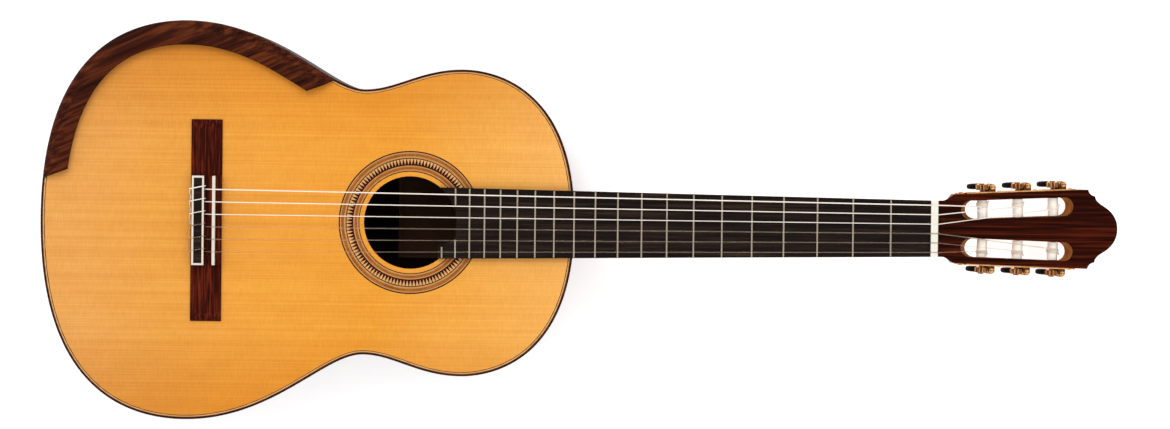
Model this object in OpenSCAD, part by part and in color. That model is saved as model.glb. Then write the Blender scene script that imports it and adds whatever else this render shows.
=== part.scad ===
// Classical guitar with a slotted head, a tie-block bridge and a raised armrest.
// It lies on its back: +Z comes out of the soundboard, +X runs to the head and +Y is the bass side.
// Every module is drawn from the point on the soundboard's face under the twelfth fret,
// and placed() moves it so that the origin is under the middle of the whole guitar, at its lowest point.

/* [Body] */
// Length of the body, from the tail to the heel
body_length = 487; // [482:1:492]
// Widest place of the lower bout
lower_bout = 364; // [356:1:372]
// Narrowest place of the waist
waist = 242; // [234:1:248]
// Widest place of the upper bout
upper_bout = 280; // [274:1:288]
// Depth of the body at the heel
heel_depth = 94; // [90:1:98]
// Depth of the body at the tail
tail_depth = 100; // [98:1:106]
// Thickness of the soundboard
top_thickness = 2.5; // [2:0.1:3]
// Thickness of the back
back_thickness = 2.8; // [2.4:0.1:3]
// Thickness of the ribs, and of the binding that caps them
rib_thickness = 1.8; // [1.6:0.1:2.2]
// Width of the pale purfling line inside the binding
purfling_width = 2; // [1.6:0.1:2.4]
// Diameter of the soundhole
soundhole_d = 84.6; // [80:0.2:88]

/* [Armrest] */
// Width of the armrest, in from the edge of the body
armrest_width = 22.3; // [18:0.1:26]
// Height of the armrest's inner edge over the soundboard
armrest_height = 8.5; // [6:0.1:11]

/* [Neck] */
// Vibrating length of the strings
scale_length = 650; // [640:1:660]
// Width of the fingerboard at the nut
nut_width = 51.4; // [50:0.1:53]
// Width of the fingerboard at the twelfth fret
joint_width = 61.2; // [60:0.1:63]
// Thickness of the fingerboard
fingerboard_thickness = 6.5; // [5.5:0.1:7.5]
// Thickness of the neck wood under the nut
neck_depth_nut = 15.5; // [14:0.1:17]
// Thickness of the neck wood where the heel begins
neck_depth_heel = 17.5; // [16.5:0.1:19]
// Height of the frets over the fingerboard
fret_height = 1; // [0.8:0.1:1.2]

/* [Head] */
// Angle by which the head leans back
head_angle = 15; // [12:0.5:17]
// Thickness of the head without its veneer
head_thickness = 18; // [17:0.5:19]
// Thickness of the head's veneer
veneer_thickness = 2; // [1.5:0.1:2.5]
// Width of each string slot
slot_width = 17.1; // [16.5:0.1:17.5]

/* [Strings] */
// Distance between neighbouring strings at the nut
nut_spacing = 8.6; // [8.2:0.1:8.8]
// Distance between neighbouring strings at the saddle
saddle_spacing = 11.36; // [11:0.02:11.8]
// Height of the strings' underside over the soundboard at the saddle
saddle_height = 12; // [11.5:0.1:12.6]
// Height of the strings' underside over the soundboard at the nut
nut_height = 8.4; // [8.3:0.1:9]

/* [Tuning machines] */
// Teeth on each gear
gear_teeth = 15; // [14:1:15]
// Distance between neighbouring rollers
roller_pitch = 35; // [34:0.5:35]
// Diameter of the string rollers
roller_d = 9.5; // [9:0.1:10]
// Length of a button
button_length = 17; // [15:0.5:19]

/* [Hidden] */
$fn = 64;

amber = "#e3a04a";
rosewood = "#4a1f16";
cedar = "#b98a5c";
ebony = "#231d1b";
bone = "#efe8d8";
gold = "#d8ae5a";
steel = "#b9bcc0";

// ---- Body outline: four curves from the tail to the heel, mirrored for the other half ----

outline_steps = 18;
heel_x = 0.5;
tail_x = heel_x - body_length;
lower_x = -354;
waist_x = -191.6;
upper_x = -102.3;
// Reach of each curve's handles before and after the place in its name
tail_reach = 153.7;
lower_reach = [55, 80.8];
waist_reach = [35.2, 28.1];
upper_reach = [38.6, 33.8];
heel_reach = 120.4;

outline_curves = [
    [[tail_x, 0], [tail_x, tail_reach],
        [lower_x - lower_reach[0], lower_bout / 2], [lower_x, lower_bout / 2]],
    [[lower_x, lower_bout / 2], [lower_x + lower_reach[1], lower_bout / 2],
        [waist_x - waist_reach[0], waist / 2], [waist_x, waist / 2]],
    [[waist_x, waist / 2], [waist_x + waist_reach[1], waist / 2],
        [upper_x - upper_reach[0], upper_bout / 2], [upper_x, upper_bout / 2]],
    [[upper_x, upper_bout / 2], [upper_x + upper_reach[1], upper_bout / 2],
        [heel_x, heel_reach], [heel_x, 0]]];

function mix(a, b, t) = a + (b - a) * t;
function smooth(t) = t <= 0 ? 0 : t >= 1 ? 1 : t * t * (3 - 2 * t);
function reversed(list) = [for (i = [len(list) - 1:-1:0]) list[i]];
function unit(v) = v / norm(v);

function curve_point(c, t) =
    (1 - t) ^ 3 * c[0] + 3 * (1 - t) ^ 2 * t * c[1] + 3 * (1 - t) * t ^ 2 * c[2] + t ^ 3 * c[3];
function curve_slope(c, t) =
    (1 - t) ^ 2 * (c[1] - c[0]) + 2 * (1 - t) * t * (c[2] - c[1]) + t ^ 2 * (c[3] - c[2]);
function curve_points(c, steps) = [for (i = [0:steps]) curve_point(c, i / steps)];

// A point of the bass half, u = 0 at the tail and 4 at the heel, moved inwards by inset
function edge_point(u, inset) =
    let (k = min(floor(u), 3), slope = curve_slope(outline_curves[k], u - k))
    curve_point(outline_curves[k], u - k) + inset * unit([slope.y, -slope.x]);
function half_edge(inset) = [for (i = [0:4 * outline_steps]) edge_point(i / outline_steps, inset)];
function whole_edge(inset) =
    let (half = half_edge(inset), last = len(half) - 1)
    concat(half, [for (i = [last - 1:-1:1]) [half[i].x, -half[i].y]]);

module body_plan(inset) {
    polygon(whole_edge(inset));
}

module body_ring(outer, inner) {
    a = whole_edge(outer);
    b = whole_edge(inner);
    polygon(concat(a, b), paths = [[for (i = [0:len(a) - 1]) i],
        [for (i = [0:len(b) - 1]) len(a) + i]]);
}

module half_ring(outer, inner) {
    polygon(concat(half_edge(outer), reversed(half_edge(inner))));
}

module slab(z_low, z_high) {
    translate([0, 0, z_low]) linear_extrude(z_high - z_low) children();
}

// The box between two corners
module block_between(low, high) {
    translate(low) cube(high - low);
}

// ---- Arched back ----

back_radius = 4572;
back_tilt = atan((tail_depth - heel_depth) / body_length);
arch_reach = 190;
arch_steps = 18;
arch = [for (i = [0:arch_steps]) let (y = mix(-arch_reach, arch_reach, i / arch_steps))
    [y, y * y / (2 * back_radius)]];

// The layer between two heights over the back's outer face
module back_layer(low, high) {
    lower = [for (p = arch) p + [0, low]];
    upper = [for (p = arch) p + [0, high]];
    translate([0, 0, -heel_depth]) rotate([0, -back_tilt, 0]) translate([-body_length - 20, 0, 0])
        rotate([90, 0, 90]) linear_extrude(body_length + 40) polygon(concat(lower, reversed(upper)));
}

// ---- Sizes that several parts share ----

lining_width = 5.5;
lining_height = 14;
top_binding_height = 5;
back_binding_height = 4;
above_all = 140;
below_all = -130;
gap = 0.05;
seat = 0.01;

hole_x = -149.4;
hole_r = soundhole_d / 2;
rosette_inner = hole_r + 3.6;
rosette_outer = hole_r + 23;
rosette_depth = 1.2;

nut_x = scale_length / 2;
nut_thickness = 6.5;
saddle_x = -scale_length / 2 - 2.7;
saddle_thickness = 2.7;
tie_half = 40.7;

function neck_half(x) = mix(joint_width, nut_width, x / nut_x) / 2;
function fret_x(n) = nut_x - scale_length * (1 - 2 ^ (-n / 12));

function string_diameter(n) = [0.72, 0.83, 1.03, 0.75, 0.9, 1.1][n - 1];
function string_nut_y(n) = (n - 3.5) * nut_spacing;
function string_saddle_y(n) = (n - 3.5) * saddle_spacing;

module placed() {
    head_tip_x = nut_x + nut_thickness + head_tip * cos(head_angle) + veneer_thickness * sin(head_angle);
    lowest = -heel_depth - tan(back_tilt) * body_length;
    translate([-(head_tip_x + tail_x) / 2, 0, -lowest]) children();
}

// ---- Body parts ----

module soundboard() {
    edge = rib_thickness + purfling_width;
    color(amber) difference() {
        slab(-top_thickness, 0) body_plan(edge);
        translate([hole_x, 0, -5]) cylinder(r = hole_r, h = 10);
        translate([hole_x, 0, -rosette_depth]) difference() {
            cylinder(r = rosette_outer, h = 5);
            translate([0, 0, -1]) cylinder(r = rosette_inner, h = 7);
        }
    }
}

module rosette() {
    color("#8a4a2a") translate([hole_x, 0, -rosette_depth]) difference() {
        cylinder(r = rosette_outer, h = rosette_depth);
        translate([0, 0, -1]) cylinder(r = rosette_inner, h = rosette_depth + 2);
    }
}

module back_plate() {
    color(rosewood) intersection() {
        slab(below_all, -60) body_plan(rib_thickness);
        back_layer(0, back_thickness);
    }
}

module half_rib() {
    color(rosewood) difference() {
        intersection() {
            slab(below_all, -top_binding_height) half_ring(0, rib_thickness);
            back_layer(back_binding_height, above_all);
        }
        graft_wedge();
    }
}

module graft_wedge() {
    top_half = 9;
    bottom_half = 5;
    translate([tail_x - 5, 0, 0]) rotate([90, 0, 90]) linear_extrude(20)
        polygon([[-top_half, 1], [top_half, 1], [bottom_half, below_all], [-bottom_half, below_all]]);
}

module end_graft() {
    color(bone) intersection() {
        slab(below_all, -top_binding_height) body_ring(0, rib_thickness);
        back_layer(back_binding_height, above_all);
        graft_wedge();
    }
}

module top_binding() {
    color(rosewood) slab(-top_binding_height, 0) body_ring(0, rib_thickness);
}

module back_binding() {
    color(rosewood) intersection() {
        slab(below_all, -60) body_ring(0, rib_thickness);
        back_layer(0, back_binding_height);
    }
}

module purfling() {
    color("#d9b27a") slab(-top_thickness, 0) body_ring(rib_thickness, rib_thickness + purfling_width);
}

tail_block_half = 34;
tail_block_thickness = 18;
heel_block_half = 32;
heel_block_thickness = 48;

// The places that the two end blocks fill, with some room around them
module block_room(margin) {
    block_between([tail_x - 5, -tail_block_half - margin, below_all],
        [tail_x + rib_thickness + tail_block_thickness, tail_block_half + margin, 5]);
    block_between([heel_x - rib_thickness - heel_block_thickness, -heel_block_half - margin, below_all],
        [heel_x + 5, heel_block_half + margin, 5]);
}

module linings() {
    outer = rib_thickness;
    inner = rib_thickness + lining_width;
    color(cedar) difference() {
        union() {
            slab(-top_thickness - lining_height, -top_thickness) body_ring(outer, inner);
            intersection() {
                slab(below_all, -60) body_ring(outer, inner);
                back_layer(back_thickness, back_thickness + lining_height);
            }
        }
        block_room(0);
    }
}

module block_solid() {
    intersection() {
        slab(below_all, -top_thickness) body_plan(rib_thickness);
        back_layer(back_thickness, above_all);
        children();
    }
}

module tail_block() {
    color(cedar) block_solid() block_between([tail_x - 5, -tail_block_half, below_all],
        [tail_x + rib_thickness + tail_block_thickness, tail_block_half, 5]);
}

module heel_block() {
    color(cedar) block_solid() block_between(
        [heel_x - rib_thickness - heel_block_thickness, -heel_block_half, below_all],
        [heel_x + 5, heel_block_half, 5]);
}

module soundboard_braces() {
    fan_count = 7;
    fan_height = 5;
    bar_height = 15;
    bar_width = 8;
    fan_start = hole_x - 62;
    fan_end = tail_x + 42;
    color(amber) intersection() {
        slab(-top_thickness - bar_height, -top_thickness)
            body_plan(rib_thickness + lining_width + 1.5);
        union() {
            for (x = [hole_x - hole_r - 10, hole_x + hole_r + 10])
                block_between([x - bar_width / 2, -200, -top_thickness - bar_height],
                    [x + bar_width / 2, 200, 0]);
            for (i = [0:fan_count - 1]) {
                side = i - (fan_count - 1) / 2;
                start = [fan_start, side * 18];
                end = [fan_end + abs(side) * 9, side * 40];
                across = unit([start.y - end.y, end.x - start.x]) * 3;
                slab(-top_thickness - fan_height, 0)
                    polygon([start + across, start - across, end - across, end + across]);
            }
        }
    }
}

module back_braces() {
    brace_width = 8;
    brace_height = 14;
    color(cedar) intersection() {
        slab(below_all, -50) body_plan(rib_thickness + lining_width + 1.5);
        back_layer(back_thickness, back_thickness + brace_height);
        union() for (x = [-85, -206, -300, -410])
            block_between([x - brace_width / 2, -200, below_all], [x + brace_width / 2, 200, 0]);
    }
}

module label() {
    color("#efe9da") intersection() {
        block_between([hole_x - 15.2, -35.5, below_all], [hole_x + 40, 42, 0]);
        back_layer(back_thickness, back_thickness + 0.3);
    }
}

// ---- Armrest: a band along the bass side of the lower bout ----

armrest_start = [0.085, 0.115];
armrest_end = [1.765, 1.655];
// Cross-section as [distance in from the edge, height], bottom first, as parts of the full size
armrest_section = [[0.012, 0.002], [0.36, 0.002], [0.55, 0.14], [0.985, 0.36], [1, 0.42], [1, 0.86],
    [0.965, 0.97], [0.86, 1], [0.68, 0.98], [0.48, 0.87], [0.3, 0.68], [0.15, 0.44], [0.05, 0.23],
    [0.012, 0.12]];

module armrest() {
    stations = 34;
    rows = [for (i = [0:stations]) [for (p = armrest_section)
        let (u = mix(mix(armrest_start[0], armrest_start[1], p[0]),
                mix(armrest_end[0], armrest_end[1], p[0]), i / stations),
            edge = edge_point(u, p[0] * armrest_width),
            ends = smooth(min(i, stations - i) / 2 + 0.35))
        [edge.x, edge.y, gap + p[1] * armrest_height * (p[1] < 0.4 ? 1 : mix(0.8, 1, ends))]]];
    color(rosewood) lofted(rows);
}

// A closed solid through rows of points, each row a closed loop with the same number of points
module lofted(rows) {
    count = len(rows[0]);
    last = len(rows) - 1;
    points = [for (row = rows) for (p = row) p];
    sides = [for (i = [0:last - 1]) for (j = [0:count - 1])
        let (k = (j + 1) % count)
        each [[i * count + j, i * count + k, (i + 1) * count + k],
            [i * count + j, (i + 1) * count + k, (i + 1) * count + j]]];
    polyhedron(points, concat(sides, [[for (j = [count - 1:-1:0]) j]],
        [[for (j = [0:count - 1]) last * count + j]]));
}

// ---- Bridge ----

bridge_back_x = saddle_x - 21.6;
bridge_front_x = saddle_x + 6.6;
bridge_half = 92;
tie_back_x = saddle_x - 20.1;
tie_front_x = saddle_x - 9;
tie_top = 8.5;
inlay_height = 1;
inlay_width = 1.8;
tie_hole_z = 5.2;
saddle_floor = 3;

module bridge() {
    centre = [[bridge_back_x, 0], [bridge_back_x, 3], [tie_back_x, tie_top], [tie_front_x, tie_top],
        [tie_front_x, 2.6], [saddle_x - 5, 2.6], [saddle_x - 4.4, 7.6], [saddle_x + 4.8, 7.6],
        [bridge_front_x, 6.2], [bridge_front_x, 0]];
    wing = [[bridge_back_x, 0], [bridge_back_x, 2], [bridge_back_x + 3.6, 3.8],
        [bridge_front_x - 3.6, 3.8], [bridge_front_x, 2], [bridge_front_x, 0]];
    wing_side = [[-bridge_half, 0], [-bridge_half, 1.3], [-bridge_half + 9, 4], [bridge_half - 9, 4],
        [bridge_half, 1.3], [bridge_half, 0]];
    color(rosewood) difference() {
        union() {
            intersection() {
                translate([0, bridge_half, 0]) rotate([90, 0, 0]) linear_extrude(2 * bridge_half)
                    polygon(wing);
                translate([bridge_back_x - 1, 0, 0]) rotate([90, 0, 90]) linear_extrude(40)
                    polygon(wing_side);
            }
            translate([0, tie_half, 0]) rotate([90, 0, 0]) linear_extrude(2 * tie_half) polygon(centre);
            block_between([tie_back_x + inlay_width, -tie_half + inlay_width, 5],
                [tie_front_x - inlay_width, tie_half - inlay_width, tie_top + inlay_height - 0.1]);
        }
        block_between([saddle_x - saddle_thickness / 2, -tie_half - 1, saddle_floor],
            [saddle_x + saddle_thickness / 2, tie_half + 1, 20]);
        for (n = [1:6])
            translate([bridge_back_x - 5, string_saddle_y(n), tie_hole_z]) rotate([0, 90, 0])
                cylinder(r = 1.1, h = 20);
    }
}

module tie_block_inlay() {
    color(bone) difference() {
        block_between([tie_back_x, -tie_half, tie_top], [tie_front_x, tie_half, tie_top + inlay_height]);
        block_between([tie_back_x + inlay_width, -tie_half + inlay_width, 0],
            [tie_front_x - inlay_width, tie_half - inlay_width, 20]);
    }
}

module saddle() {
    color(bone) block_between([saddle_x - saddle_thickness / 2, -tie_half, saddle_floor],
        [saddle_x + saddle_thickness / 2, tie_half, saddle_height - 0.02]);
}

// ---- Neck and heel ----

head_start = 20;
head_start_half = 31.6;
heel_bottom = -heel_depth + 2;
heel_pivot = [60, -60];
heel_inner_radius = 38;
heel_back = -3;

// The point at distance u along the head's face and height h over it
function head_point(u, y, h) = [nut_x + nut_thickness + u * cos(head_angle) + h * sin(head_angle), y,
    h * cos(head_angle) - u * sin(head_angle)];
function head_half(u) = mix(nut_width / 2, head_start_half, smooth((u - 5) / 13));

// One section of the neck: a flat top edge of half width w, and a rounded belly of depth d.
// Roundness 2 gives an ellipse and a larger value a squarer belly.
function neck_section(origin, down, w, d, roundness) = [for (i = [0:16])
    let (a = i * 180 / 16, c = cos(a), s = sin(a))
    origin + [0, w * sign(c) * abs(c) ^ (2 / roundness), 0] + down * d * abs(s) ^ (2 / roundness)];

// Sections under the head's veneer, clear of the veneer and of the head's core by a hair.
// Their lower ends lean towards the head, so that the shoulder's wall falls back under the veneer.
function head_rows() = [for (i = [0:9])
    let (u = (head_start - seat) * (1 - i / 9),
        depth = mix(neck_depth_nut, head_thickness, smooth(u / head_start)),
        lean = 0.5 * (head_start - seat - u) * smooth(u / 8),
        down = head_point(lean / depth, 0, -1) - head_point(0, 0, 0))
    neck_section(head_point(u, 0, -seat), down, head_half(u), depth, mix(2.4, 9, smooth((u - 8) / 12)))];

shaft_places = [nut_x - 6, nut_x - 60, nut_x / 2 + 30, heel_pivot[0] + 30, heel_pivot[0] + 8];
function shaft_rows() = [for (x = shaft_places)
    neck_section([x, 0, 0], [0, 0, -1], neck_half(x),
        mix(neck_depth_heel, neck_depth_nut, (x - heel_pivot[0]) / (nut_x - heel_pivot[0])), 2.3)];

// Around the inside of the heel the sections turn from upright to level, about heel_pivot
function heel_turn_rows() = [for (a = [0:9:90])
    let (corner = atan((heel_pivot[0] - heel_back) / -heel_pivot[1]),
        x = a <= corner ? heel_pivot[0] + heel_pivot[1] * tan(a) : heel_back,
        z = a <= corner ? 0 : heel_pivot[1] + (heel_pivot[0] - heel_back) / tan(a),
        reach = norm([heel_pivot[0] - x, heel_pivot[1] - z]),
        t = smooth((a - corner) / (90 - corner)),
        radius = mix(-heel_pivot[1] - neck_depth_heel, heel_inner_radius, smooth(a / 90)))
    neck_section([x, 0, z], [heel_pivot[0] - x, 0, heel_pivot[1] - z] / reach,
        mix(neck_half(max(x, 0)), 17.5, t), reach - radius, mix(2.3, 1.8, t))];

function heel_section(z) =
    let (t = (heel_pivot[1] - z) / (heel_pivot[1] - heel_bottom))
    neck_section([heel_back, 0, z], [1, 0, 0], mix(17.5, 12.5, smooth(t)),
        heel_pivot[0] - heel_back - heel_inner_radius + mix(0, 1.5, t), mix(1.8, 1.7, t));

module clear_of_body() {
    difference() {
        children();
        slab(below_all, 0) body_plan(0);
    }
}

module neck_shaft() {
    heel_rows = [for (z = [heel_pivot[1] - 8:-8:heel_bottom + 1]) heel_section(z)];
    color(cedar) clear_of_body() lofted(concat(head_rows(), shaft_rows(), heel_turn_rows(),
        heel_rows, [heel_section(heel_bottom)]));
}

module heel_cap() {
    outline = [for (p = heel_section(heel_bottom)) [p.x, p.y]];
    color(rosewood) clear_of_body() slab(-heel_depth, heel_bottom) polygon(outline);
}

// ---- Fingerboard, frets and nut ----

last_fret_margin = 3.5;
tab_inner_y = -21;

// The fingerboard's end follows the soundhole, and a tab on the treble side carries the last fret
function fingerboard_end() =
    let (tab_x = fret_x(20) - last_fret_margin,
        bass_angle = asin(neck_half(tab_x) / hole_r),
        tab_angle = asin(-(tab_inner_y + 5) / hole_r),
        arc = [for (i = [0:14]) let (a = mix(bass_angle, -tab_angle, i / 14))
            [hole_x + hole_r * cos(a), hole_r * sin(a)]],
        turn = [arc[14], arc[14] + [-3.5, -3], [tab_x, tab_inner_y + 2.6], [tab_x, tab_inner_y]])
    concat(arc, curve_points(turn, 6), [[tab_x, -neck_half(tab_x)]]);

module fingerboard() {
    slot_depth = 2.3;
    color(ebony) difference() {
        slab(0, fingerboard_thickness)
            polygon(concat([[nut_x, -nut_width / 2], [nut_x, nut_width / 2]], fingerboard_end()));
        for (n = [1:20])
            block_between([fret_x(n) - 0.3, -50, fingerboard_thickness - slot_depth],
                [fret_x(n) + 0.3, n == 20 ? tab_inner_y + 1 : 50, 20]);
    }
}

// One fret from y_low to y_high: a rounded crown on a thin tang
module fret(n, y_low, y_high) {
    crown = [for (a = [0:20:180]) [1.25 * cos(a), fret_height * sin(a)]];
    translate([fret_x(n), y_high, fingerboard_thickness]) rotate([90, 0, 0])
        linear_extrude(y_high - y_low) {
            polygon(crown);
            translate([-0.25, -2]) square([0.5, 2.2]);
        }
}

module frets() {
    inset = 0.4;
    split_bass = sqrt(hole_r ^ 2 - (fret_x(19) - 1.5 - hole_x) ^ 2) + 0.6;
    color(steel) {
        for (n = [1:18])
            fret(n, inset - neck_half(fret_x(n)), neck_half(fret_x(n)) - inset);
        fret(19, split_bass, neck_half(fret_x(19)) - inset);
        fret(19, inset - neck_half(fret_x(19)), -split_bass);
        fret(20, inset - neck_half(fret_x(20)), tab_inner_y - 0.5);
    }
}

module nut() {
    front_top = nut_height + 1;
    back_top = nut_height + 0.5;
    profile = [[nut_x, 0], [nut_x + nut_thickness, 0], [nut_x + nut_thickness, back_top],
        [nut_x + 1, front_top], [nut_x, front_top]];
    color(bone) difference() {
        translate([0, nut_width / 2, 0]) rotate([90, 0, 0]) linear_extrude(nut_width) polygon(profile);
        for (n = [1:6]) {
            half = string_diameter(n) / 2 + gap;
            block_between([nut_x - 1, string_nut_y(n) - half, nut_height],
                [nut_x + nut_thickness + 1, string_nut_y(n) + half, 20]);
        }
    }
}

// ---- Head ----

flare = 2.23;
head_shoulder = 148;
head_step = [155, 30.6];
head_tip = 177.8;
slot_start = 21.7;
slot_length = 111.6;
slot_wall = 6.3;
head_shoulder_half = head_start_half + (head_shoulder - head_start) * tan(flare);

// Half of the head's outline from distance u_start: flared side, notch, step and rounded tip
function head_half_outline(u_start) = concat(
    [for (u = [u_start:2:head_start - 1]) [u, head_half(u)]],
    [[head_start, head_start_half]],
    curve_points([[head_shoulder, head_shoulder_half], [149, 32.5], [152, 31], head_step], 5),
    curve_points([head_step, [155.3, 26.5], [159, 24], [163, 21.8]], 5),
    curve_points([[163, 21.8], [172, 17], [head_tip, 10], [head_tip, 0]], 8));

module head_plan(u_start) {
    half = head_half_outline(u_start);
    polygon(concat(half, [for (i = [len(half) - 2:-1:0]) [half[i].x, -half[i].y]]));
}

// The head's own frame: x along its face, z out of it
module on_head() {
    translate([nut_x + nut_thickness, 0, 0]) rotate([0, head_angle, 0]) children();
}

// The frame of one side of the head: x along the side, y out of it. side is 1 for bass, -1 for treble
module on_side(side) {
    on_head() mirror([0, side < 0 ? 1 : 0, 0]) translate([head_start, head_start_half, 0])
        rotate([0, 0, flare]) children();
}

// Both slots, cut through the head. The nut end of each is drilled at a slant, under the strings.
module slots() {
    r = slot_width / 2;
    drill_r = r + 0.15;
    ramp_angle = 31;
    first = slot_start - head_start + drill_r / cos(ramp_angle);
    last = slot_start - head_start + slot_length - r;
    drop = veneer_thickness + head_thickness + 6;
    cut = [[first - 3 * tan(ramp_angle), 3], [first + drop * tan(ramp_angle), -drop],
        [last + r + 1, -drop], [last + r + 1, 3]];
    for (side = [-1, 1]) on_side(side) translate([0, -slot_wall - r, veneer_thickness]) {
        translate([first, 0, 0]) rotate([0, 180 - ramp_angle, 0]) translate([0, 0, -20])
            cylinder(r = drill_r, h = 60);
        intersection() {
            slab(-drop - 1, 2.5) {
                translate([first - 3, -r]) square([last - first + 3, slot_width]);
                translate([last, 0]) circle(r);
            }
            translate([0, r + 5, 0]) rotate([90, 0, 0]) linear_extrude(slot_width + 10) polygon(cut);
        }
    }
}

roller_depth = -8;
pin_r = 3;
inner_pin_r = 2.5;
inner_pin_length = 5;
function roller_s(k) = 26.7 + k * roller_pitch;

module head_core() {
    color(cedar) difference() {
        on_head() slab(-head_thickness, 0) head_plan(head_start);
        slots();
        for (side = [-1, 1]) on_side(side) {
            for (k = [0:2]) translate([roller_s(k), 0, roller_depth]) {
                rotate([90, 0, 0]) cylinder(r = pin_r + gap, h = slot_wall + 4);
                translate([0, -slot_wall - slot_width + 1, 0]) rotate([90, 0, 0])
                    cylinder(r = inner_pin_r + gap, h = inner_pin_length + 1.5);
            }
            for (s = screw_places) translate([s, 1, roller_depth]) rotate([90, 0, 0])
                cylinder(r = screw_r + gap, h = screw_length + 1.5);
        }
    }
}

module head_veneer() {
    color(rosewood) difference() {
        on_head() slab(0, veneer_thickness) head_plan(0.6);
        slots();
    }
}

// ---- Tuning machines, drawn in the frame of one side of the head ----

plate_thickness = 1.2;
plate_length = 116;
plate_half_height = 7.6;
plate_start = 2;
screw_r = 1.2;
screw_length = 4.5;
screw_places = [plate_start + 4, roller_s(0) + roller_pitch / 2, roller_s(1) + roller_pitch / 2,
    plate_start + plate_length - 4];

gear_root_r = 4.35;
gear_tip_r = 5.65;
gear_pitch_r = 5.075;
gear_width = 4.8;
worm_pitch_r = 2.6;
worm_thread = 0.7;
worm_offset = gear_pitch_r + worm_pitch_r + 0.225;
worm_t = 5.4;
gear_face = [worm_t - gear_width / 2, worm_t + gear_width / 2];
worm_turns = 4;
worm_lead = 2 * PI * gear_pitch_r / gear_teeth;
shaft_r = 1.5;
bracket_half_gap = 5.1;
bracket_thickness = 1.8;
button_top = -33.5;
button_thickness = 5.4;

// String n's machine: strings 4 to 6 are on the bass side, and the outer strings nearest the nut
function machine_side(n) = n > 3 ? 1 : -1;
function machine_place(n) = n > 3 ? 6 - n : n - 1;

module on_machine(n) {
    on_side(machine_side(n)) translate([roller_s(machine_place(n)), 0, roller_depth]) children();
}

module string_roller(n) {
    inner = -slot_wall - slot_width + 0.4;
    color("#e9e4da") on_machine(n) rotate([-90, 0, 0]) {
        translate([0, 0, inner]) cylinder(r = roller_d / 2, h = slot_width - 0.8);
        translate([0, 0, inner - inner_pin_length]) cylinder(r = inner_pin_r, h = inner_pin_length + 1);
        translate([0, 0, -slot_wall - 1]) cylinder(r = pin_r, h = slot_wall + 1 + plate_thickness);
        block_between([-1.55, -1.55, plate_thickness - 1], [1.55, 1.55, gear_face[1] + 0.5]);
        translate([0, 0, gear_face[1] + 0.1]) cylinder(r = 2.6, h = 0.9);
    }
}

module tuner_gear(n) {
    // Half of a tooth's angle at its root and at its tip
    root_half = 7.5;
    tip_half = 1.7;
    teeth = [for (k = [0:gear_teeth - 1]) let (a = k * 360 / gear_teeth)
        each [for (p = [[gear_root_r, -root_half], [gear_tip_r, -tip_half], [gear_tip_r, tip_half],
            [gear_root_r, root_half]]) p[0] * [cos(a + p[1]), sin(a + p[1])]]];
    color(gold) on_machine(n) rotate([-90, 0, 0]) difference() {
        slab(gear_face[0], gear_face[1]) polygon(teeth);
        block_between([-1.6, -1.6, 0], [1.6, 1.6, 10]);
    }
}

// A single-start thread: a round section whose centre winds about the shaft, deepest facing the gear
function worm_rows() =
    let (steps = 6 * worm_turns, sides = 12)
    [for (i = [0:steps]) let (turn = 360 * (i / steps - 0.5) * worm_turns)
        [for (j = [0:sides - 1]) let (a = -j * 360 / sides)
            [worm_thread * cos(turn) + worm_pitch_r * cos(a),
                worm_thread * sin(turn) + worm_pitch_r * sin(a), worm_lead * turn / 360]]];

module tuner_worm(n) {
    color(gold) on_machine(n) translate([worm_offset, worm_t, 0]) {
        lofted(worm_rows());
        translate([0, 0, -roller_depth + button_top - 12])
            cylinder(r = shaft_r, h = 7.6 + roller_depth - button_top + 12, $fn = 12);
    }
}

module tuner_button(n) {
    r = button_length / 2;
    top = button_top - roller_depth;
    color(ebony) on_machine(n) translate([worm_offset, worm_t, top]) difference() {
        union() {
            translate([0, button_thickness / 2, -r]) rotate([90, 0, 0])
                cylinder(r = r, h = button_thickness);
            translate([0, 0, -4]) cylinder(r = 2.5, h = 6);
        }
        translate([0, 0, -12.2]) cylinder(r = shaft_r + gap, h = 20);
    }
}

module side_plate(side) {
    color(gold) on_side(side) translate([0, seat, roller_depth]) rotate([-90, 0, 0])
        linear_extrude(plate_thickness - seat) difference() {
            union() {
                translate([plate_start + 7, -plate_half_height])
                    square([plate_length - 14, 2 * plate_half_height]);
                translate([plate_start, 2.5 - plate_half_height])
                    square([plate_length, 2 * plate_half_height - 5]);
            }
            for (k = [0:2]) translate([roller_s(k), 0]) circle(pin_r + gap);
            for (s = screw_places) translate([s, 0]) circle(screw_r + gap);
        }
}

module worm_brackets() {
    r = 3;
    reach = bracket_half_gap + bracket_thickness / 2;
    color(gold) for (n = [1:6], end = [-1, 1]) on_machine(n)
        translate([worm_offset, 0, end * reach - bracket_thickness / 2])
            difference() {
                union() {
                    block_between([-r, plate_thickness, 0], [r, worm_t, bracket_thickness]);
                    translate([0, worm_t, 0]) cylinder(r = r, h = bracket_thickness);
                }
                translate([0, worm_t, -1]) cylinder(r = shaft_r + gap, h = bracket_thickness + 2);
            }
}

module plate_screws() {
    color(gold) for (side = [-1, 1]) on_side(side) for (s = screw_places)
        translate([s, plate_thickness, roller_depth]) rotate([90, 0, 0]) {
            cylinder(r = screw_r, h = plate_thickness + screw_length);
            translate([0, 0, -0.9]) cylinder(r = 2.1, h = 0.9);
        }
}

// ---- Strings ----

function side_point(n, s, t, h) =
    let (x = head_start + s * cos(flare) - t * sin(flare),
        y = head_start_half + s * sin(flare) + t * cos(flare))
    head_point(x, machine_side(n) * y, h);

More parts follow.
